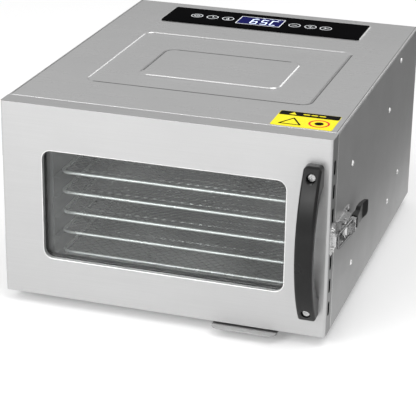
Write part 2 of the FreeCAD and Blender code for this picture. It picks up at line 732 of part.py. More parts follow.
def main():
    os.makedirs("parts", exist_ok=True)
    save("top_panel", top_panel())
    panel = side_panel()
    save("side_panel_right", panel)
    save("side_panel_left", mirror_x(panel))
    save("base_pan", base_pan())
    save("rear_cover", rear_cover())
    save("front_frame", front_frame())
    for name, shape in liner_walls().items():
        save(name, shape)
    rails = rack_rails()
    save("rack_rails_right", rails)
    save("rack_rails_left", mirror_x(rails))
    save("fan_baffle", fan_baffle())
    save("motor_plate", motor_plate())
    save("fan_motor", fan_motor())
    save("fan_rotor", fan_rotor())
    save("heating_element", heating_element())
    save("heater_supports", heater_supports())
    save("thermal_cutout", thermal_cutout())
    save("temperature_probe", temperature_probe())
    save("control_glass", control_glass())
    save("display_module", display_module())
    save("control_board", control_board())
    save("power_board", power_board())
    save("power_inlet", power_inlet())
    for name, shape in feet().items():
        save(name, shape)
    save("foot_screws", foot_screws())
    save("case_rivets", case_rivets())
    save("info_label", info_label())
    save("guide_rails", guide_rails())
    save("guide_plate", guide_plate())
    save("hinge_leaves_case", hinge_leaves(1))
    save("hinge_leaves_door", hinge_leaves(-1))
    save("hinge_pins", hinge_pins())
    save("door_shell", door_shell())
    save("door_inner_pan", door_inner_pan())
    save("door_glass", door_glass())
    save("glass_gasket", glass_gasket())
    save("door_seal", door_seal())
    save("handle", handle())
    save("handle_screws", handle_screws())
    save("latch_keeper", latch_keeper())
    save("keeper_screws", keeper_screws())
    save("latch_base", latch_base())
    save("latch_pin", latch_pin())
    save("latch_lever", latch_lever())
    save("latch_grip", latch_grip())
    save("latch_loop", latch_loop())
    for level in range(RACK_COUNT):
        save("rack_%d" % (level + 1), rack(level))
    save("drip_tray", drip_tray())


main()
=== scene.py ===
import json
import math

import bmesh
import bpy
from mathutils import Matrix, Vector


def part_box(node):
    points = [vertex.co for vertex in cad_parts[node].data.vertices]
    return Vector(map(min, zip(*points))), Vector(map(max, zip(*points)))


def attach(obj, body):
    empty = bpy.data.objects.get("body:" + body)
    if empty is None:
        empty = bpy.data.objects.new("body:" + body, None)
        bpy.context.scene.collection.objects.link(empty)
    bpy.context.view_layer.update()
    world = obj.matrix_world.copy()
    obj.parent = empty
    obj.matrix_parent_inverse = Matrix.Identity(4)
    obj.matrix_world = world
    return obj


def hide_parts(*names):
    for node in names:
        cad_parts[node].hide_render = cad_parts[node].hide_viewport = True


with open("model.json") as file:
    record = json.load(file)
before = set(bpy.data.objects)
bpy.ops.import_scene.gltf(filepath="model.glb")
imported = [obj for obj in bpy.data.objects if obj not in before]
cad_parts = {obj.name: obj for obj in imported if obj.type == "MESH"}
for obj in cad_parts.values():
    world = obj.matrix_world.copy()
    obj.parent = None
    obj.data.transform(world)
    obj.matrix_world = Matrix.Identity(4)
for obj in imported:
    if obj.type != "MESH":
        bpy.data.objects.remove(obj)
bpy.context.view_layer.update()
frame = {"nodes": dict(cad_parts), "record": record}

MM = 0.001

# The camera, as a place, three angles and a lens
CAMERA_PLACE = (0.4844, -1.5760, 0.7305)
CAMERA_AZIMUTH = math.radians(17.596)
CAMERA_ELEVATION = math.radians(22.212)
CAMERA_ROLL = math.radians(0.855)
CAMERA_LENS = 140.0
SENSOR_WIDTH = 36.0

# The stage: metres and watts
FLOOR_HALF = 14.0
FLOOR_GLOW = 0.18
SKY_STRENGTH = 0.66
KEY_POWER = 30
OVERHEAD_POWER = 22
FRONT_POWER = 13
RIM_POWER = 8

# Boxes of the CAD nodes that pieces are placed by
TOP_LOW, TOP_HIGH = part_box("top_panel")
GLASS_LOW, GLASS_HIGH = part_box("control_glass")
LABEL_LOW, LABEL_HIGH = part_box("info_label")


# --- Materials ------------------------------------------------------------------------------------


class Nodes:
    """A short way to add and link the nodes of one material."""

    def __init__(self, name):
        self.material = bpy.data.materials.new(name)
        self.material.use_nodes = True
        self.tree = self.material.node_tree
        self.tree.nodes.clear()
        self.output = self.add("ShaderNodeOutputMaterial")
        self.coords = self.add("ShaderNodeTexCoord").outputs["Object"]

    def add(self, kind, **settings):
        node = self.tree.nodes.new(kind)
        for key, value in settings.items():
            setattr(node, key, value)
        return node

    def link(self, source, target):
        self.tree.links.new(source, target)

    def noise(self, scale, detail=3.0, roughness=0.55):
        """Noise between 0 and 1; scale is one number or one per axis, in cycles per metre."""
        stretch = scale if isinstance(scale, tuple) else (scale, scale, scale)
        mapping = self.add("ShaderNodeMapping")
        mapping.inputs["Scale"].default_value = stretch
        self.link(self.coords, mapping.inputs["Vector"])
        texture = self.add("ShaderNodeTexNoise")
        texture.inputs["Scale"].default_value = 1.0
        texture.inputs["Detail"].default_value = detail
        texture.inputs["Roughness"].default_value = roughness
        self.link(mapping.outputs["Vector"], texture.inputs["Vector"])
        return texture.outputs["Fac"]

    def spread(self, value, low, high, from_low=0.3, from_high=0.7):
        """A 0 to 1 value stretched to a range."""
        node = self.add("ShaderNodeMapRange")
        node.inputs["From Min"].default_value = from_low
        node.inputs["From Max"].default_value = from_high
        node.inputs["To Min"].default_value = low
        node.inputs["To Max"].default_value = high
        self.link(value, node.inputs["Value"])
        return node.outputs["Result"]

    def mix(self, factor, first, second):
        """Two colours blended by a factor; a colour may be a socket."""
        node = self.add("ShaderNodeMix", data_type="RGBA")
        self.link(factor, node.inputs[0])
        for socket, colour in ((node.inputs[6], first), (node.inputs[7], second)):
            if isinstance(colour, bpy.types.NodeSocket):
                self.link(colour, socket)
            else:
                socket.default_value = (*colour, 1.0)
        return node.outputs[2]

    def bump(self, height, distance, strength=1.0, normal=None):
        node = self.add("ShaderNodeBump")
        node.inputs["Distance"].default_value = distance
        node.inputs["Strength"].default_value = strength
        self.link(height, node.inputs["Height"])
        if normal is not None:
            self.link(normal, node.inputs["Normal"])
        return node.outputs["Normal"]

    def soft_edges(self, radius):
        node = self.add("ShaderNodeBevel", samples=4)
        node.inputs["Radius"].default_value = radius
        return node.outputs["Normal"]

    def surface(self, colour, roughness, normal, **fixed):
        """The shader; fixed holds the values that are the same all over."""
        shader = self.add("ShaderNodeBsdfPrincipled")
        self.link(colour, shader.inputs["Base Color"])
        self.link(roughness, shader.inputs["Roughness"])
        self.link(normal, shader.inputs["Normal"])
        for key, value in fixed.items():
            shader.inputs[key.replace("_", " ")].default_value = value
        self.link(shader.outputs["BSDF"], self.output.inputs["Surface"])
        return shader


def shade(colour, factor):
    return tuple(min(1.0, c * factor) for c in colour)


def brushed_steel(name, colour, roughness, grain, metallic=0.9, edge=0.0005, contrast=0.07):
    """Sheet steel: grain gives the cycles per metre along each axis, low along the brushing."""
    n = Nodes(name)
    lines = n.noise(grain, detail=4.0, roughness=0.7)
    cloud = n.noise(7.0, detail=4.0)
    smudge = n.noise(31.0, detail=5.0, roughness=0.6)
    streak = n.mix(n.spread(lines, 0, 1), shade(colour, 1 - contrast), shade(colour, 1 + contrast))
    tone = n.mix(n.spread(cloud, 0, 0.5), streak, shade(colour, 0.93))
    rough = n.add("ShaderNodeMath", operation="ADD")
    n.link(n.spread(lines, roughness - 0.05, roughness + 0.06), rough.inputs[0])
    n.link(n.spread(smudge, -0.03, 0.05), rough.inputs[1])
    normal = n.bump(lines, 0.00004, 0.6, n.soft_edges(edge))
    n.surface(tone, rough.outputs[0], normal, Metallic=metallic)
    return n.material


def polished_steel(name, colour, roughness, edge=0.0002):
    """Bright metal with faint rub marks and a little dirt."""
    n = Nodes(name)
    fine = n.noise(420.0, detail=3.0)
    cloud = n.noise(60.0, detail=4.0)
    tone = n.mix(n.spread(cloud, 0, 1), colour, shade(colour, 0.82))
    rough = n.spread(fine, roughness * 0.7, roughness * 1.4)
    normal = n.bump(fine, 0.00002, 0.5, n.soft_edges(edge))
    n.surface(tone, rough, normal, Metallic=1.0)
    return n.material


def moulded(name, colour, roughness, grain=900.0, depth=0.00004, edge=0.0004, worn=1.5, **fixed):
    """Plastic or rubber with a fine moulded texture and paler, smoother rubbed patches."""
    n = Nodes(name)
    fine = n.noise(grain, detail=2.0)
    patches = n.noise(26.0, detail=4.0, roughness=0.6)
    tone = n.mix(n.spread(patches, 0, 1, 0.45, 0.75), colour, shade(colour, worn))
    rough = n.spread(patches, roughness + 0.06, roughness - 0.05)
    normal = n.bump(fine, depth, 0.7, n.soft_edges(edge))
    n.surface(tone, rough, normal, **fixed)
    return n.material


def thin_glass(name, tint, haze):
    """A pane that lets light straight through and mirrors a little, more at grazing angles."""
    n = Nodes(name)
    smear = n.noise((9.0, 9.0, 22.0), detail=5.0, roughness=0.6)
    clear = n.add("ShaderNodeBsdfTransparent")
    clear.inputs["Color"].default_value = (*tint, 1.0)
    mirror = n.add("ShaderNodeBsdfGlossy")
    mirror.inputs["Color"].default_value = (1, 1, 1, 1)
    n.link(n.spread(smear, 0.02, 0.09), mirror.inputs["Roughness"])
    facing = n.add("ShaderNodeFresnel")
    facing.inputs["IOR"].default_value = 1.45
    share = n.add("ShaderNodeMath", operation="ADD")
    n.link(facing.outputs["Fac"], share.inputs[0])
    n.link(n.spread(smear, 0.0, haze), share.inputs[1])
    both = n.add("ShaderNodeMixShader")
    n.link(share.outputs[0], both.inputs["Fac"])
    n.link(clear.outputs["BSDF"], both.inputs[1])
    n.link(mirror.outputs["BSDF"], both.inputs[2])
    n.link(both.outputs["Shader"], n.output.inputs["Surface"])
    return n.material


def printed(name, colour, roughness, glow=0.0, index=1.25):
    """Ink or a lit symbol, slightly uneven."""
    n = Nodes(name)
    fine = n.noise(700.0, detail=2.0)
    tone = n.mix(n.spread(fine, 0, 1), colour, shade(colour, 0.86))
    rough = n.spread(fine, roughness - 0.05, roughness + 0.08)
    normal = n.bump(fine, 0.00001, 0.4)
    shader = n.surface(tone, rough, normal, IOR=index)
    if glow:
        shader.inputs["Emission Color"].default_value = (*colour, 1.0)
        shader.inputs["Emission Strength"].default_value = glow
    return n.material


# Grain of brushed steel, in cycles per metre along x, y and z
ALONG_X = (9.0, 700.0, 700.0)
ALONG_Z = (700.0, 700.0, 9.0)

STEEL_DOOR = brushed_steel("door_brushed_steel", (0.52, 0.52, 0.52), 0.40, ALONG_X, contrast=0.05)
STEEL_TOP = brushed_steel("top_brushed_steel", (0.58, 0.58, 0.58), 0.30, ALONG_X, contrast=0.05)
# Painted shade: the side panels take a darker copy of the case steel, for the shade that falls on
# them
STEEL_SIDE_PAINTED_SHADE = brushed_steel("side_steel_painted_shade", (0.38, 0.38, 0.38), 0.46, ALONG_Z, metallic=0.85)
STEEL_REAR = brushed_steel("rear_brushed_steel", (0.48, 0.48, 0.48), 0.44, ALONG_X)
STEEL_INNER = brushed_steel("inner_brushed_steel", (0.19, 0.20, 0.21), 0.38, ALONG_X)
STEEL_TRAY = brushed_steel("tray_steel", (0.60, 0.60, 0.60), 0.30, (300.0, 300.0, 300.0))
BLACK_GLOSS = moulded(
    "handle_black", (0.008, 0.008, 0.008), 0.30, depth=0.00001, worn=1.6, Specular_IOR_Level=0.22
)

# The look of each material slot of the record
SLOT_LOOKS = {
    "case_steel": STEEL_TOP,
    "door_steel": STEEL_DOOR,
    "inner_steel": STEEL_INNER,
    "tray_steel": STEEL_TRAY,
    "latch_steel": polished_steel("latch_steel", (0.62, 0.62, 0.62), 0.22),
    "bright_metal": polished_steel("bright_metal", (0.82, 0.82, 0.81), 0.18),
    "rack_wire": moulded(
        "rack_chrome", (0.93, 0.93, 0.92), 0.28, worn=0.92, depth=0.00001, Metallic=0.45
    ),
    "motor_metal": moulded("motor_paint", (0.10, 0.10, 0.11), 0.45, Metallic=0.4),
    "fan_metal": polished_steel("fan_aluminium", (0.72, 0.73, 0.74), 0.34),
    "heater_metal": moulded("heater_sheath", (0.11, 0.10, 0.09), 0.50, Metallic=0.7),
    "ceramic": moulded("ceramic", (0.78, 0.76, 0.70), 0.55, worn=0.8),
    "black_plastic": moulded("black_plastic", (0.02, 0.02, 0.02), 0.48),
    "guide_steel": brushed_steel("guide_steel", (0.38, 0.38, 0.38), 0.40, ALONG_X),
    "handle_black": BLACK_GLOSS,
    "board_green": moulded("board_green", (0.02, 0.13, 0.05), 0.40),
    "control_glass": moulded(
        "control_glass", (0.0012, 0.0012, 0.0015), 0.12, grain=120.0, depth=0.000002, IOR=1.015
    ),
    "window_glass": thin_glass("window_glass", (0.93, 0.95, 0.945), 0.03),
    "rubber": moulded("black_rubber", (0.014, 0.014, 0.014), 0.62, depth=0.00008),
    "label_yellow": printed("label_yellow", (0.98, 0.83, 0.0), 0.34),
}

# Looks of the pieces that stand in for, or are added to, the CAD nodes
RACK_MESH = polished_steel("rack_mesh_wire", (0.34, 0.34, 0.34), 0.38)
# Painted shade: a darker copy of the steel laid over the door's right flange
STEEL_FLANGE_PAINTED_SHADE = brushed_steel(
    "flange_steel_painted_shade", (0.27, 0.27, 0.27), 0.44, ALONG_Z, metallic=0.85
)
# Painted shade: the black seen through the flange's slots
SLOT_PAINTED_SHADE = moulded(
    "slot_painted_shade", (0.001, 0.001, 0.001), 0.9, depth=0.000002, worn=1.0, IOR=1.02
)
# Painted shade along the steps of the top
STEP_SHADE_PAINT = polished_steel("step_painted_shade", (0.15, 0.15, 0.15), 0.45)
# Painted shadow: a dark strip for the shade in the seam beside each hem
SEAM_PAINTED_SHADOW = moulded("seam_painted_shadow", (0.06, 0.06, 0.06), 0.60)
# Painted highlight: a bright copy of the steel for rims, hems and edges
RIM_PAINTED_HIGHLIGHT = polished_steel("rim_painted_highlight", (0.90, 0.90, 0.89), 0.42)
BRIGHT_RIVET = moulded(
    "rivet_steel", (0.95, 0.95, 0.94), 0.22, worn=0.9, depth=0.00001, Metallic=0.5
)

# CAD nodes that don't take the look of their slot
NODE_LOOKS = {
    "side_panel_right": STEEL_SIDE_PAINTED_SHADE,
    "side_panel_left": STEEL_SIDE_PAINTED_SHADE,
    "rear_cover": STEEL_REAR,
    "hinge_leaves_case": STEEL_REAR,
    "hinge_leaves_door": STEEL_REAR,
    "case_rivets": BRIGHT_RIVET,
    "latch_loop": polished_steel("loop_steel", (0.19, 0.19, 0.19), 0.26),
    "latch_base": polished_steel("base_steel", (0.48, 0.48, 0.48), 0.30),
    "handle_screws": polished_steel("screw_steel", (0.50, 0.50, 0.50), 0.28),
}

# Print and light on the panel and the sticker
PRINT_BLACK = printed("print_black", (0.008, 0.008, 0.008), 0.35, index=1.04)
PRINT_RED = printed("print_red", (0.72, 0.02, 0.015), 0.35)
PRINT_YELLOW = printed("print_yellow", (0.98, 0.83, 0.0), 0.35)
PRINT_WHITE = printed("print_white", (0.80, 0.82, 0.84), 0.30, glow=0.35)
DISPLAY_BLUE = printed("display_blue", (0.004, 0.005, 0.07), 0.16, glow=0.35, index=1.03)
DIGIT_LIGHT = printed("digit_light", (0.72, 0.82, 1.0), 0.30, glow=1.0)


def dress_cad_nodes():
    """Every CAD node gets the look of its own material slot."""
    slots = {row["node"]: row["material_slot"] for row in frame["record"]["subparts"]}
    for name, node in frame["nodes"].items():
        look = NODE_LOOKS.get(name, SLOT_LOOKS[slots[name]])
        node.data.materials.clear()
        node.data.materials.append(look)


# --- Mesh helpers ---------------------------------------------------------------------------------


def add_object(name, data):
    """A new object in the scene."""
    thing = bpy.data.objects.new(name, data)
    bpy.context.scene.collection.objects.link(thing)
    return thing


def piece_from_bmesh(name, bm, look, body, smooth=False):
    """A finished piece from a bmesh, riding on a body."""
    bmesh.ops.recalc_face_normals(bm, faces=bm.faces)
    mesh = bpy.data.meshes.new(name)
    bm.to_mesh(mesh)
    bm.free()
    if smooth:
        mesh.polygons.foreach_set("use_smooth", [True] * len(mesh.polygons))
    mesh.materials.append(look)
    piece = add_object(name, mesh)
    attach(piece, body)
    return piece


def rounded_outline(low, high, radius, steps=6):
    """Points round a rectangle with round corners, anticlockwise, in a plane."""
    points = []
    corners = (
        (high[0] - radius, high[1] - radius, 0),
        (low[0] + radius, high[1] - radius, 90),
        (low[0] + radius, low[1] + radius, 180),
        (high[0] - radius, low[1] + radius, 270),
    )
    for x, y, start in corners:
        for i in range(steps + 1):
            angle = math.radians(start + 90 * i / steps)
            points.append((x + radius * math.cos(angle), y + radius * math.sin(angle)))
    return points


def bridge(bm, first, second):
    """Quads between two rings with the same number of points."""
    count = len(first)
    for i in range(count):
        j = (i + 1) % count
        bm.faces.new((first[i], first[j], second[j], second[i]))


def prism(bm, outline, z0, z1):
    """A flat shape with straight walls, from a closed outline."""
    low = [bm.verts.new((x, y, z0)) for x, y in outline]
    high = [bm.verts.new((x, y, z1)) for x, y in outline]
    bm.faces.new(high)
    bm.faces.new(low[::-1])
    bridge(bm, low, high)


def block(bm, x0, x1, y0, y1, z0, z1):
    """A plain block along the axes."""
    prism(bm, [(x0, y0), (x1, y0), (x1, y1), (x0, y1)], z0, z1)


def band(bm, outer, inner, z0, z1):
    """A flat ring between two outlines with the same number of points."""
    rings = []
    for outline, z in ((outer, z0), (outer, z1), (inner, z1), (inner, z0)):
        rings.append([bm.verts.new((x, y, z)) for x, y in outline])
    for i in range(4):
        bridge(bm, rings[i], rings[(i + 1) % 4])


def circle(centre, radius, steps=28, start=0.0, turn=360.0):
    points = []
    for i in range(steps):
        angle = math.radians(start + turn * i / (steps if turn == 360.0 else steps - 1))
        points.append((centre[0] + radius * math.cos(angle), centre[1] + radius * math.sin(angle)))
    return points


def stroke(bm, first, last, width, z0, z1):
    """A straight bar with round ends between two points in a plane."""
    angle = math.degrees(math.atan2(last[1] - first[1], last[0] - first[0]))
    last_end = circle(last, width / 2, 7, angle - 90, 180)
    first_end = circle(first, width / 2, 7, angle + 90, 180)
    prism(bm, last_end + first_end, z0, z1)


def bow(bm, centre, radius, width, start, turn, z0, z1):
    """Part of a ring."""
    outer = circle(centre, radius + width / 2, 18, start, turn)
    inner = circle(centre, radius - width / 2, 18, start, turn)
    prism(bm, outer + inner[::-1], z0, z1)


def ring(bm, centre, radius, width, z0, z1):
    band(bm, circle(centre, radius + width / 2), circle(centre, radius - width / 2), z0, z1)


def tube_between(bm, points, radius, sides=5):
    """A wire through points that all lie nearly in one line."""
    along = (points[-1] - points[0]).normalized()
    across = along.cross(Vector((0, 0, 1))).normalized() * radius
    above = Vector((0, 0, radius))
    previous = None
    for point in points:
        section = []
        for i in range(sides):
            angle = 2 * math.pi * i / sides
            section.append(bm.verts.new(point + across * math.cos(angle) + above * math.sin(angle)))
        if previous:
            bridge(bm, previous, section)
        else:
            bm.faces.new(section[::-1])
        previous = section
    bm.faces.new(previous)


def bent_rod(bm, outline, z, radius, sides=12):
    """A round bar bent round a closed outline in a level plane."""
    rings = []
    count = len(outline)
    for i in range(count):
        here = Vector((*outline[i], z))
        ahead = Vector((*outline[(i + 1) % count], z))
        behind = Vector((*outline[i - 1], z))
        across = (ahead - behind).normalized().cross(Vector((0, 0, 1)))
        section = []
        for k in range(sides):
            angle = 2 * math.pi * k / sides
            offset = across * math.cos(angle) + Vector((0, 0, math.sin(angle)))
            section.append(bm.verts.new(here + offset * radius))
        rings.append(section)
    for i in range(count):
        bridge(bm, rings[i], rings[(i + 1) % count])


# --- The top --------------------------------------------------------------------------------------


STEP_DEPTH = 1.3 * MM
STEP_RADIUS = 11 * MM
# How far a step's slope reaches where it catches the light, and where it falls away from it
STEEP = 1.7 * MM
GENTLE = 4.4 * MM


def top_spot(left, right, near, far):
    """A rectangle on the top, in millimetres from its middle and from its front edge."""
    middle = (TOP_LOW.x + TOP_HIGH.x) / 2
    low = (middle + left * MM, TOP_LOW.y + near * MM)
    high = (middle + right * MM, TOP_LOW.y + far * MM)
    return low, high


SUNK = top_spot(-117, 124, 68, 261)
RAISED = top_spot(-75, 80, 109, 207)


def make_top():
    """The pressed top sheet: a flat rim, a smooth step down and a smooth step up."""
    z = TOP_HIGH.z
    corner_steps = 12
    slope_steps = 8
    bm = bmesh.new()

    def ring_at(spot, inset, radius, height, near_right=None):
        """A ring inside a rectangle; its near and right sides can have an inset of their own."""
        other = inset if near_right is None else near_right
        low = (spot[0][0] + inset, spot[0][1] + other)
        high = (spot[1][0] - other, spot[1][1] - inset)
        outline = rounded_outline(low, high, radius, corner_steps)
        return [bm.verts.new((x, y, height)) for x, y in outline]

    edge = ((TOP_LOW.x, TOP_LOW.y), (TOP_HIGH.x, TOP_HIGH.y))
    rings = [
        ring_at(edge, 1.0 * MM, 0.4 * MM, z - 8 * MM),
        ring_at(edge, 0.0, 0.5 * MM, z - 7.9 * MM),
        ring_at(edge, 0.0, 0.5 * MM, z - 0.6 * MM),
        ring_at(edge, 0.2 * MM, 0.5 * MM, z - 0.15 * MM),
        ring_at(edge, 0.7 * MM, 0.5 * MM, z),
        ring_at(edge, 4 * MM, 1 * MM, z),
    ]
    for spot, far_left, near_right, way in ((SUNK, STEEP, GENTLE, -1), (RAISED, GENTLE, STEEP, 1)):
        for i in range(slope_steps + 1):
            share = i / slope_steps
            height = z - STEP_DEPTH * (0.5 + way * 0.5 * math.cos(math.pi * share))
            radius = STEP_RADIUS - STEEP * share
            rings.append(ring_at(spot, far_left * share, radius, height, near_right * share))
    for first, second in zip(rings, rings[1:]):
        bridge(bm, first, second)
    bm.faces.new(rings[-1])
    top = piece_from_bmesh("top_sheet", bm, STEEL_TOP, "case", smooth=True)
    thick = top.modifiers.new("thickness", "SOLIDIFY")
    thick.thickness = 0.8 * MM
    thick.offset = -1
    sharp = top.modifiers.new("flat_faces", "WEIGHTED_NORMAL")
    sharp.keep_sharp = True
    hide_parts("top_panel")


def make_step_shade_lines():
    """Painted shade: dark lines along the sides of the two steps that fall away from the light."""
    radius = STEP_RADIUS
    wide, thin = 2.0 * MM, 1.1 * MM
    flat = (TOP_HIGH.z - 0.3 * MM, TOP_HIGH.z + 0.02 * MM)
    bm = bmesh.new()
    (left, near), (right, far) = SUNK
    stroke(bm, (left + radius, near), (right - radius, near), wide, *flat)
    bow(bm, (right - radius, near + radius), radius, thin, 270, 90, *flat)
    stroke(bm, (right, near + radius), (right, far - radius), thin, *flat)
    left, near = RAISED[0][0] + GENTLE, RAISED[0][1] + STEEP
    right, far = RAISED[1][0] - STEEP, RAISED[1][1] - GENTLE
    stroke(bm, (left, near + radius), (left, far - radius), thin, *flat)
    bow(bm, (left + radius, far - radius), radius, thin, 90, 90, *flat)
    stroke(bm, (left + radius, far), (right - radius, far), wide, *flat)
    piece_from_bmesh("emboss_painted_shade", bm, STEP_SHADE_PAINT, "case")


# --- The control panel ----------------------------------------------------------------------------

GLASS_TOP = GLASS_HIGH.z - 0.2 * MM
GLASS_CORNER = 3.0 * MM

# Millimetres on the glass, from its front left corner
SYMBOL_PLACES = (34.5, 53.5, 72.5, 152.5, 171.5, 189.5)
SYMBOL_Y = 30.5
SYMBOL_RADIUS = 6.6
SYMBOL_LINE = 0.8
DISPLAY = ((85.0, 16.0), (138.0, 47.0))

# How deep print starts under a surface, and how high it stands
PRINT_UNDER = 0.05 * MM
PRINT_OVER = 0.08 * MM


def panel_point(x, y):
    """A point on the control glass, in millimetres from its front left corner."""
    return (GLASS_LOW.x + x * MM, GLASS_LOW.y + y * MM)


def make_glass():
    """The black glass, a hair lower than its full height so that the print on it stays within."""
    bm = bmesh.new()
    low = (GLASS_LOW.x, GLASS_LOW.y)
    high = (GLASS_HIGH.x, GLASS_HIGH.y)
    prism(bm, rounded_outline(low, high, GLASS_CORNER), GLASS_LOW.z, GLASS_TOP)
    look = SLOT_LOOKS["control_glass"]
    glass = piece_from_bmesh("control_glass_slab", bm, look, "case")
    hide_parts("control_glass")


def make_symbols():
    """Six printed rings with a plain sign in each: on, time, warmth, less, more and air."""
    z0 = GLASS_TOP - PRINT_UNDER
    z1 = GLASS_TOP + PRINT_OVER
    width = SYMBOL_LINE * MM
    bm = bmesh.new()
    places = [panel_point(x, SYMBOL_Y) for x in SYMBOL_PLACES]

    def line(centre, start, end):
        first = (centre[0] + start[0] * MM, centre[1] + start[1] * MM)
        last = (centre[0] + end[0] * MM, centre[1] + end[1] * MM)
        stroke(bm, first, last, width, z0, z1)

    for place in places:
        ring(bm, place, SYMBOL_RADIUS * MM, width, z0, z1)
    on, clock, warm, less, more, air = places
    bow(bm, on, 3.0 * MM, width, 120, 300, z0, z1)
    line(on, (0, 0.8), (0, 4.0))
    line(clock, (0, 0), (0, 3.6))
    line(clock, (0, 0), (2.6, 0))
    line(warm, (0, 0), (0, 3.8))
    ring(bm, (warm[0], warm[1] - 2.0 * MM), 1.5 * MM, width, z0, z1)
    line(less, (-2.8, 0), (2.8, 0))
    line(more, (-2.8, 0), (2.8, 0))
    line(more, (0, -2.8), (0, 2.8))
    for angle in (0, 120, 240):
        start = math.radians(angle)
        line(air, (0, 0), (3.6 * math.cos(start), 3.6 * math.sin(start)))
    piece_from_bmesh("panel_symbols", bm, PRINT_WHITE, "case")


def make_display():
    """The lit window in the glass, with its pale frame."""
    radius = 1.4 * MM
    frame_width = 0.9 * MM
    low = panel_point(*DISPLAY[0])
    high = panel_point(*DISPLAY[1])
    inner_low = (low[0] + frame_width, low[1] + frame_width)
    inner_high = (high[0] - frame_width, high[1] - frame_width)
    outer = rounded_outline(low, high, radius)
    inner = rounded_outline(inner_low, inner_high, radius - frame_width * 0.6)
    bm = bmesh.new()
    band(bm, outer, inner, GLASS_TOP - PRINT_UNDER, GLASS_TOP + 0.10 * MM)
    piece_from_bmesh("display_frame", bm, PRINT_WHITE, "case")
    bm = bmesh.new()
    prism(bm, inner, GLASS_TOP - PRINT_UNDER, GLASS_TOP + 0.06 * MM)
    piece_from_bmesh("display_window", bm, DISPLAY_BLUE, "case")


SEGMENTS = {"6": "acdefg", "5": "acdfg", "C": "adef"}


def make_digits():
    """Three characters of seven segments, and four short marks over them."""
    z0 = GLASS_TOP + 0.05 * MM
    z1 = GLASS_TOP + 0.14 * MM
    width = 6.8 * MM
    height = 17.0 * MM
    pitch = width + 4.9 * MM
    thick = 1.5 * MM
    lean = 0.03
    low = panel_point(*DISPLAY[0])
    high = panel_point(*DISPLAY[1])
    start_x = low[0] + 16 * MM
    base_y = low[1] + 5.5 * MM
    half = height / 2
    gap = 0.7 * MM
    ends = {
        "a": ((gap, height), (width - gap, height)),
        "b": ((width, height - gap), (width, half + gap)),
        "c": ((width, half - gap), (width, gap)),
        "d": ((gap, 0), (width - gap, 0)),
        "e": ((0, half - gap), (0, gap)),
        "f": ((0, height - gap), (0, half + gap)),
        "g": ((gap, half), (width - gap, half)),
    }
    bm = bmesh.new()
    for index, sign in enumerate("65C"):
        left = start_x + index * pitch
        for segment in SEGMENTS[sign]:
            first, last = ends[segment]
            a = (left + first[0] + lean * first[1], base_y + first[1])
            b = (left + last[0] + lean * last[1], base_y + last[1])
            stroke(bm, a, b, thick, z0, z1)
    mark_y = high[1] - 3.4 * MM
    for i in range(4):
        x = low[0] + (17 + i * 9) * MM
        stroke(bm, (x, mark_y), (x + 3.4 * MM, mark_y), 0.6 * MM, z0, z1)
    piece_from_bmesh("display_digits", bm, DIGIT_LIGHT, "case")


# --- The sticker ----------------------------------------------------------------------------------


def triangle(centre, size):
    """The corners of a triangle that points away from the front."""
    points = []
    for angle in (90, 210, 330):
        a = math.radians(angle)
        points.append((centre[0] + size * math.cos(a), centre[1] + size * math.sin(a)))
    return points


def make_sticker():
    """Plain shapes on the yellow sticker: a black band, a triangle, a dot and a ring."""
    z = LABEL_HIGH.z
    z0, z1 = z - PRINT_UNDER, z + PRINT_OVER
    low = (LABEL_LOW.x, LABEL_LOW.y)
    high = (LABEL_HIGH.x, LABEL_HIGH.y)
    margin = 0.4 * MM
    band_y = high[1] - 12 * MM
    band_low = (low[0] + margin, band_y)
    band_high = (high[0] - margin, high[1] - margin)
    right = (low[0] + 45 * MM, low[1] + 15 * MM)
    bm = bmesh.new()
    prism(bm, rounded_outline(band_low, band_high, 1.6 * MM), z0, z1)
    corners = triangle((low[0] + 18 * MM, low[1] + 11.5 * MM), 12 * MM)
    for i in range(3):
        stroke(bm, corners[i], corners[(i + 1) % 3], 1.8 * MM, z0, z1)
    prism(bm, circle(right, 4.5 * MM), z0, z + 0.06 * MM)
    piece_from_bmesh("sticker_black", bm, PRINT_BLACK, "case")

    bm = bmesh.new()
    ring(bm, right, 9.5 * MM, 2 * MM, z, z + 0.1 * MM)
    piece_from_bmesh("sticker_red", bm, PRINT_RED, "case")

    z0, z1 = z + 0.04 * MM, z + 0.12 * MM
    bm = bmesh.new()
    prism(bm, triangle((low[0] + 14 * MM, band_y + 5 * MM), 4.4 * MM), z0, z1)
    bar_y = band_y + 6 * MM
    for i in range(3):
        x = low[0] + (25 + i * 8) * MM
        stroke(bm, (x, bar_y), (x + 4.5 * MM, bar_y), 2.4 * MM, z0, z1)
    piece_from_bmesh("sticker_yellow", bm, PRINT_YELLOW, "case")


# --- Bright rims: painted highlight ---------------------------------------------------------------


def make_panel_rim():
    """The turned-up lip of the top sheet, left, behind and right of the control glass, bright by
    painted highlight.
    """
    z0 = TOP_HIGH.z - 0.2 * MM
    z1 = GLASS_TOP - 0.1 * MM
    wide = 1.0 * MM
    corner = GLASS_CORNER
    left = GLASS_LOW.x - wide / 2
    right = GLASS_HIGH.x + wide / 2
    back = GLASS_HIGH.y + wide / 2
    front = GLASS_LOW.y + corner
    bm = bmesh.new()
    stroke(bm, (left, front), (left, back - corner), wide, z0, z1)
    stroke(bm, (right, front), (right, back - corner), wide, z0, z1)
    stroke(bm, (left + corner, back), (right - corner, back), wide, z0, z1)
    bow(bm, (left + corner, back - corner), corner, wide, 90, 90, z0, z1)
    bow(bm, (right - corner, back - corner), corner, wide, 0, 90, z0, z1)
    piece_from_bmesh("panel_rim", bm, RIM_PAINTED_HIGHLIGHT, "case")


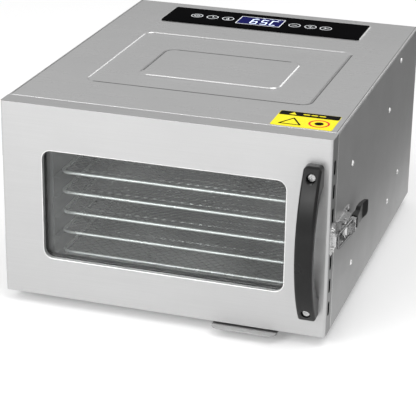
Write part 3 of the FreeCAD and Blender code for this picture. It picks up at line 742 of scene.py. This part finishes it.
def make_window_rim():
    """A band of painted highlight round the edge of the hole that the window looks through."""
    half, bottom, top = 126.2 * MM, 54.5 * MM, 171.0 * MM
    radius = 9.5 * MM
    wide = 0.9 * MM
    low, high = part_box("door_shell")
    middle = (low.x + high.x) / 2
    front = low.y

    def window_outline(grow):
        start = (middle - half - grow, bottom - grow)
        end = (middle + half + grow, top + grow)
        return rounded_outline(start, end, radius + grow, 8)

    bm = bmesh.new()
    rings = []
    for grow, back in ((wide, -0.05 * MM), (0.0, -0.30 * MM), (0.0, 0.9 * MM)):
        rings.append([bm.verts.new((x, front + back, z)) for x, z in window_outline(grow)])
    for first, second in zip(rings, rings[1:]):
        bridge(bm, first, second)
    piece_from_bmesh("window_rim_highlight", bm, RIM_PAINTED_HIGHLIGHT, "door", smooth=True)


def make_hems():
    """The rounded fold along each side of the top, bright by painted highlight, and the fine seam
    beside it, dark by painted shadow.
    """
    radius = 1.9 * MM
    proud = 0.06 * MM
    steps = 8
    y0 = TOP_LOW.y + 0.3 * MM
    y1 = TOP_HIGH.y - 0.3 * MM
    hems = bmesh.new()
    seam_shadows = bmesh.new()
    for name, side in (("side_panel_right", 1), ("side_panel_left", -1)):
        low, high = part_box(name)
        edge = high.x if side > 0 else low.x
        centre = (edge - side * (radius - proud), TOP_HIGH.z - radius + proud)
        sections = []
        for y in (y0, y1):
            section = []
            for i in range(steps + 1):
                angle = math.radians(90 * i / steps)
                x = centre[0] + side * radius * math.sin(angle)
                section.append(hems.verts.new((x, y, centre[1] + radius * math.cos(angle))))
            sections.append(section)
        near, far = sections
        for i in range(steps):
            hems.faces.new((near[i], near[i + 1], far[i + 1], far[i]))
        inner = edge - side * (radius + 0.7 * MM)
        outer = edge - side * (radius - 0.1 * MM)
        left, right = min(inner, outer), max(inner, outer)
        # The seam strip is painted shadow
        block(seam_shadows, left, right, y0, y1, TOP_HIGH.z - 0.1 * MM, TOP_HIGH.z + 0.03 * MM)
    piece_from_bmesh("top_hems", hems, RIM_PAINTED_HIGHLIGHT, "case", smooth=True)
    piece_from_bmesh("top_seam_painted_shadow", seam_shadows, SEAM_PAINTED_SHADOW, "case")


def make_side_edge():
    """A strip of painted highlight on the front edge of the right side panel, beside the door."""
    low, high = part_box("side_panel_right")
    x0, x1 = high.x - 0.1 * MM, high.x + 0.05 * MM
    y0, y1 = low.y - 0.02 * MM, low.y + 0.8 * MM
    bm = bmesh.new()
    block(bm, x0, x1, y0, y1, low.z + 0.5 * MM, high.z - 2 * MM)
    piece_from_bmesh("side_edge_highlight", bm, RIM_PAINTED_HIGHLIGHT, "case")


# --- The door's flange ----------------------------------------------------------------------------

# The slots in the door's right flange: millimetres up from its lower edge and back from its front
SLOT_COUNT = 7
SLOT_LOW_Z = 27.6
SLOT_PITCH = 24.55
SLOT_HALF = 7.3
SLOT_NEAR = 7.2
SLOT_FAR = 13.8


def make_slot_shade():
    """Painted shade: a black strip just under the flange's face, which shows through the slots."""
    low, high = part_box("door_shell")
    y0, y1 = low.y + (SLOT_NEAR - 0.2) * MM, low.y + (SLOT_FAR + 0.2) * MM
    bm = bmesh.new()
    block(bm, high.x - 0.5 * MM, high.x, y0, y1, low.z + 12 * MM, high.z - 12 * MM)
    piece_from_bmesh("slot_shade", bm, SLOT_PAINTED_SHADE, "door")


def make_flange():
    """A face over the door's right flange, darker by painted shade, with its slots left open."""
    low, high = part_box("door_shell")
    x0, x1 = high.x - 0.05 * MM, high.x + 0.04 * MM
    slot_low, slot_high = low.y + SLOT_NEAR * MM, low.y + SLOT_FAR * MM
    z_low, z_high = low.z + 0.6 * MM, high.z - 0.6 * MM
    bm = bmesh.new()
    block(bm, x0, x1, low.y + 2.6 * MM, slot_low, z_low, z_high)
    block(bm, x0, x1, slot_high, high.y - 0.2 * MM, z_low, z_high)
    start = z_low
    for i in range(SLOT_COUNT):
        middle = low.z + (SLOT_LOW_Z + SLOT_PITCH * i) * MM
        block(bm, x0, x1, slot_low, slot_high, start, middle - SLOT_HALF * MM)
        start = middle + SLOT_HALF * MM
    block(bm, x0, x1, slot_low, slot_high, start, z_high)
    piece_from_bmesh("door_flange_painted_shade", bm, STEEL_FLANGE_PAINTED_SHADE, "door")


# --- The racks ------------------------------------------------------------------------------------

MESH_PITCH = 7.0 * MM
MESH_WIRE = 0.42 * MM
FRAME_WIRE = 1.6 * MM


def woven_wires(bm, low, high, z):
    """Wires on both diagonals of a rectangle, each passing over and under the others."""
    root = math.sqrt(2)
    crimp = MESH_WIRE * 0.9
    reach = int((high[0] - low[0] + high[1] - low[1]) / MESH_PITCH / root) + 2
    centre = Vector(((low[0] + high[0]) / 2, (low[1] + high[1]) / 2, z))
    half_x = (high[0] - low[0]) / 2
    half_y = (high[1] - low[1]) / 2
    for family in (1, -1):
        for i in range(-reach, reach + 1):
            fixed = i * MESH_PITCH
            crossings = []
            for j in range(-reach, reach + 1):
                free = j * MESH_PITCH
                x = (fixed + free) / root
                y = (fixed - free) / root * family
                if abs(x) <= half_x and abs(y) <= half_y:
                    over = family if (i + j) % 2 == 0 else -family
                    crossings.append(centre + Vector((x, y, crimp * over)))
            if len(crossings) < 2:
                continue
            step = Vector((1, -family, 0)) / root
            room = []
            for point, way in ((crossings[0], -1), (crossings[-1], 1)):
                offset = point - centre
                gaps = [
                    (half_x - offset.x * way * step.x / abs(step.x)) / abs(step.x),
                    (half_y - offset.y * way * step.y / abs(step.y)) / abs(step.y),
                ]
                room.append(max(0.0005, min(gaps)))
            first = crossings[0] - step * room[0]
            last = crossings[-1] + step * room[1]
            first.z = z
            last.z = z
            tube_between(bm, [first] + crossings + [last], MESH_WIRE, 4)


def make_racks():
    """Five woven racks that share one mesh, each in place of its CAD node."""
    base_low, base_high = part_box("rack_1")
    z = (base_low.z + base_high.z) / 2
    bm = bmesh.new()
    inset = 2.0 * MM
    low = (base_low.x + inset, base_low.y + inset)
    high = (base_high.x - inset, base_high.y - inset)
    bent_rod(bm, rounded_outline(low, high, 9 * MM, 8), z, FRAME_WIRE)
    for share in (0.25, 0.5, 0.75):
        y = low[1] + (high[1] - low[1]) * share
        ends = [Vector((low[0], y, z - 0.9 * MM)), Vector((high[0], y, z - 0.9 * MM))]
        tube_between(bm, ends, 1.0 * MM, 8)
    bars = len(bm.faces)
    woven_wires(bm, low, high, z + 0.4 * MM)
    bm.faces.ensure_lookup_table()
    for face in bm.faces[bars:]:
        face.material_index = 1
    wire = SLOT_LOOKS["rack_wire"]
    first = piece_from_bmesh("rack_woven_1", bm, wire, "rack_1_body", smooth=True)
    first.data.materials.append(RACK_MESH)
    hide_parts("rack_1")
    for level in range(2, 6):
        node = "rack_%d" % level
        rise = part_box(node)[0].z - base_low.z
        mesh = first.data.copy()
        mesh.transform(Matrix.Translation((0, 0, rise)))
        rack = add_object("rack_woven_%d" % level, mesh)
        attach(rack, node + "_body")
        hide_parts(node)


# --- The stage ------------------------------------------------------------------------------------


def make_camera():
    """The view from the front right and above."""
    camera = add_object("camera", bpy.data.cameras.new("camera"))
    azimuth, elevation = CAMERA_AZIMUTH, CAMERA_ELEVATION
    back = Vector((
        math.sin(azimuth) * math.cos(elevation),
        -math.cos(azimuth) * math.cos(elevation),
        math.sin(elevation),
    ))
    level = Vector((math.cos(azimuth), math.sin(azimuth), 0))
    upright = back.cross(level)
    right = level * math.cos(CAMERA_ROLL) + upright * math.sin(CAMERA_ROLL)
    up = upright * math.cos(CAMERA_ROLL) - level * math.sin(CAMERA_ROLL)
    turn = Matrix((right, up, back)).transposed().to_4x4()
    camera.matrix_world = Matrix.Translation(CAMERA_PLACE) @ turn
    camera.data.lens = CAMERA_LENS
    camera.data.sensor_width = SENSOR_WIDTH
    camera.data.clip_end = 50
    bpy.context.scene.camera = camera


def make_light(name, place, target, size, power):
    """A soft rectangular light at a place, turned to a target."""
    lamp = bpy.data.lights.new(name, "AREA")
    lamp.shape = "RECTANGLE"
    lamp.size, lamp.size_y = size
    lamp.energy = power
    light = add_object(name, lamp)
    light.location = place
    light.rotation_euler = (Vector(target) - Vector(place)).to_track_quat("-Z", "Y").to_euler()


def stage_card(name, corners, look):
    """A single face of the stage round the object."""
    bm = bmesh.new()
    bm.faces.new([bm.verts.new(corner) for corner in corners])
    mesh = bpy.data.meshes.new(name)
    bm.to_mesh(mesh)
    bm.free()
    mesh.materials.append(look)
    card = add_object(name, mesh)
    return card


def matt_paint(name, grey):
    """A plain matt grey, and its shader."""
    paint = bpy.data.materials.new(name)
    paint.use_nodes = True
    shader = paint.node_tree.nodes["Principled BSDF"]
    shader.inputs["Base Color"].default_value = (grey, grey, grey, 1)
    shader.inputs["Roughness"].default_value = 0.9
    return paint, shader


def make_stage():
    """A plain pale floor, soft lights and an even sky."""
    paint, shader = matt_paint("floor_white", 0.80)
    shader.inputs["Emission Color"].default_value = (1, 1, 1, 1)
    shader.inputs["Emission Strength"].default_value = FLOOR_GLOW
    half = FLOOR_HALF
    corners = [(-half, -half, 0), (half, -half, 0), (half, half, 0), (-half, half, 0)]
    stage_card("floor", corners, paint)

    world = bpy.data.worlds.new("studio")
    world.use_nodes = True
    sky = world.node_tree.nodes["Background"]
    sky.inputs["Color"].default_value = (1, 1, 1, 1)
    sky.inputs["Strength"].default_value = SKY_STRENGTH
    bpy.context.scene.world = world
    bpy.context.scene.view_settings.view_transform = "Standard"

    make_light("key", (-1.5, -2.0, 2.6), (0, 0, 0.1), (1.8, 1.8), KEY_POWER)
    make_light("overhead", (0.9, -0.5, 2.4), (0, 0, 0), (1.6, 1.6), OVERHEAD_POWER)
    make_light("front", (-0.5, -1.7, 0.85), (0, -0.2, 0.10), (0.9, 0.5), FRONT_POWER)
    make_light("rim", (1.15, 2.2, 0.75), (0, 0, 0.2), (1.3, 0.9), RIM_POWER)


def make_flags():
    """Two dark cards, beside and behind the object, that only its reflections show."""
    beside = [(0.24, -0.05, 0.002), (1.4, -0.05, 0.002), (1.4, 1.7, 0.002), (0.24, 1.7, 0.002)]
    behind = [(-1.6, 1.4, 0.0), (0.9, 1.4, 0.0), (0.9, 1.4, 0.46), (-1.6, 1.4, 0.46)]
    paint, _ = matt_paint("flag_dark", 0.03)
    for name, corners in (("flag_beside", beside), ("flag_behind", behind)):
        flag = stage_card(name, corners, paint)
        flag.visible_camera = False
        flag.visible_diffuse = False
        flag.visible_shadow = False


dress_cad_nodes()
make_camera()
make_stage()
make_flags()
make_top()
make_step_shade_lines()
make_panel_rim()
make_window_rim()
make_hems()
make_slot_shade()
make_flange()
make_side_edge()
make_glass()
make_symbols()
make_display()
make_digits()
make_sticker()
make_racks()
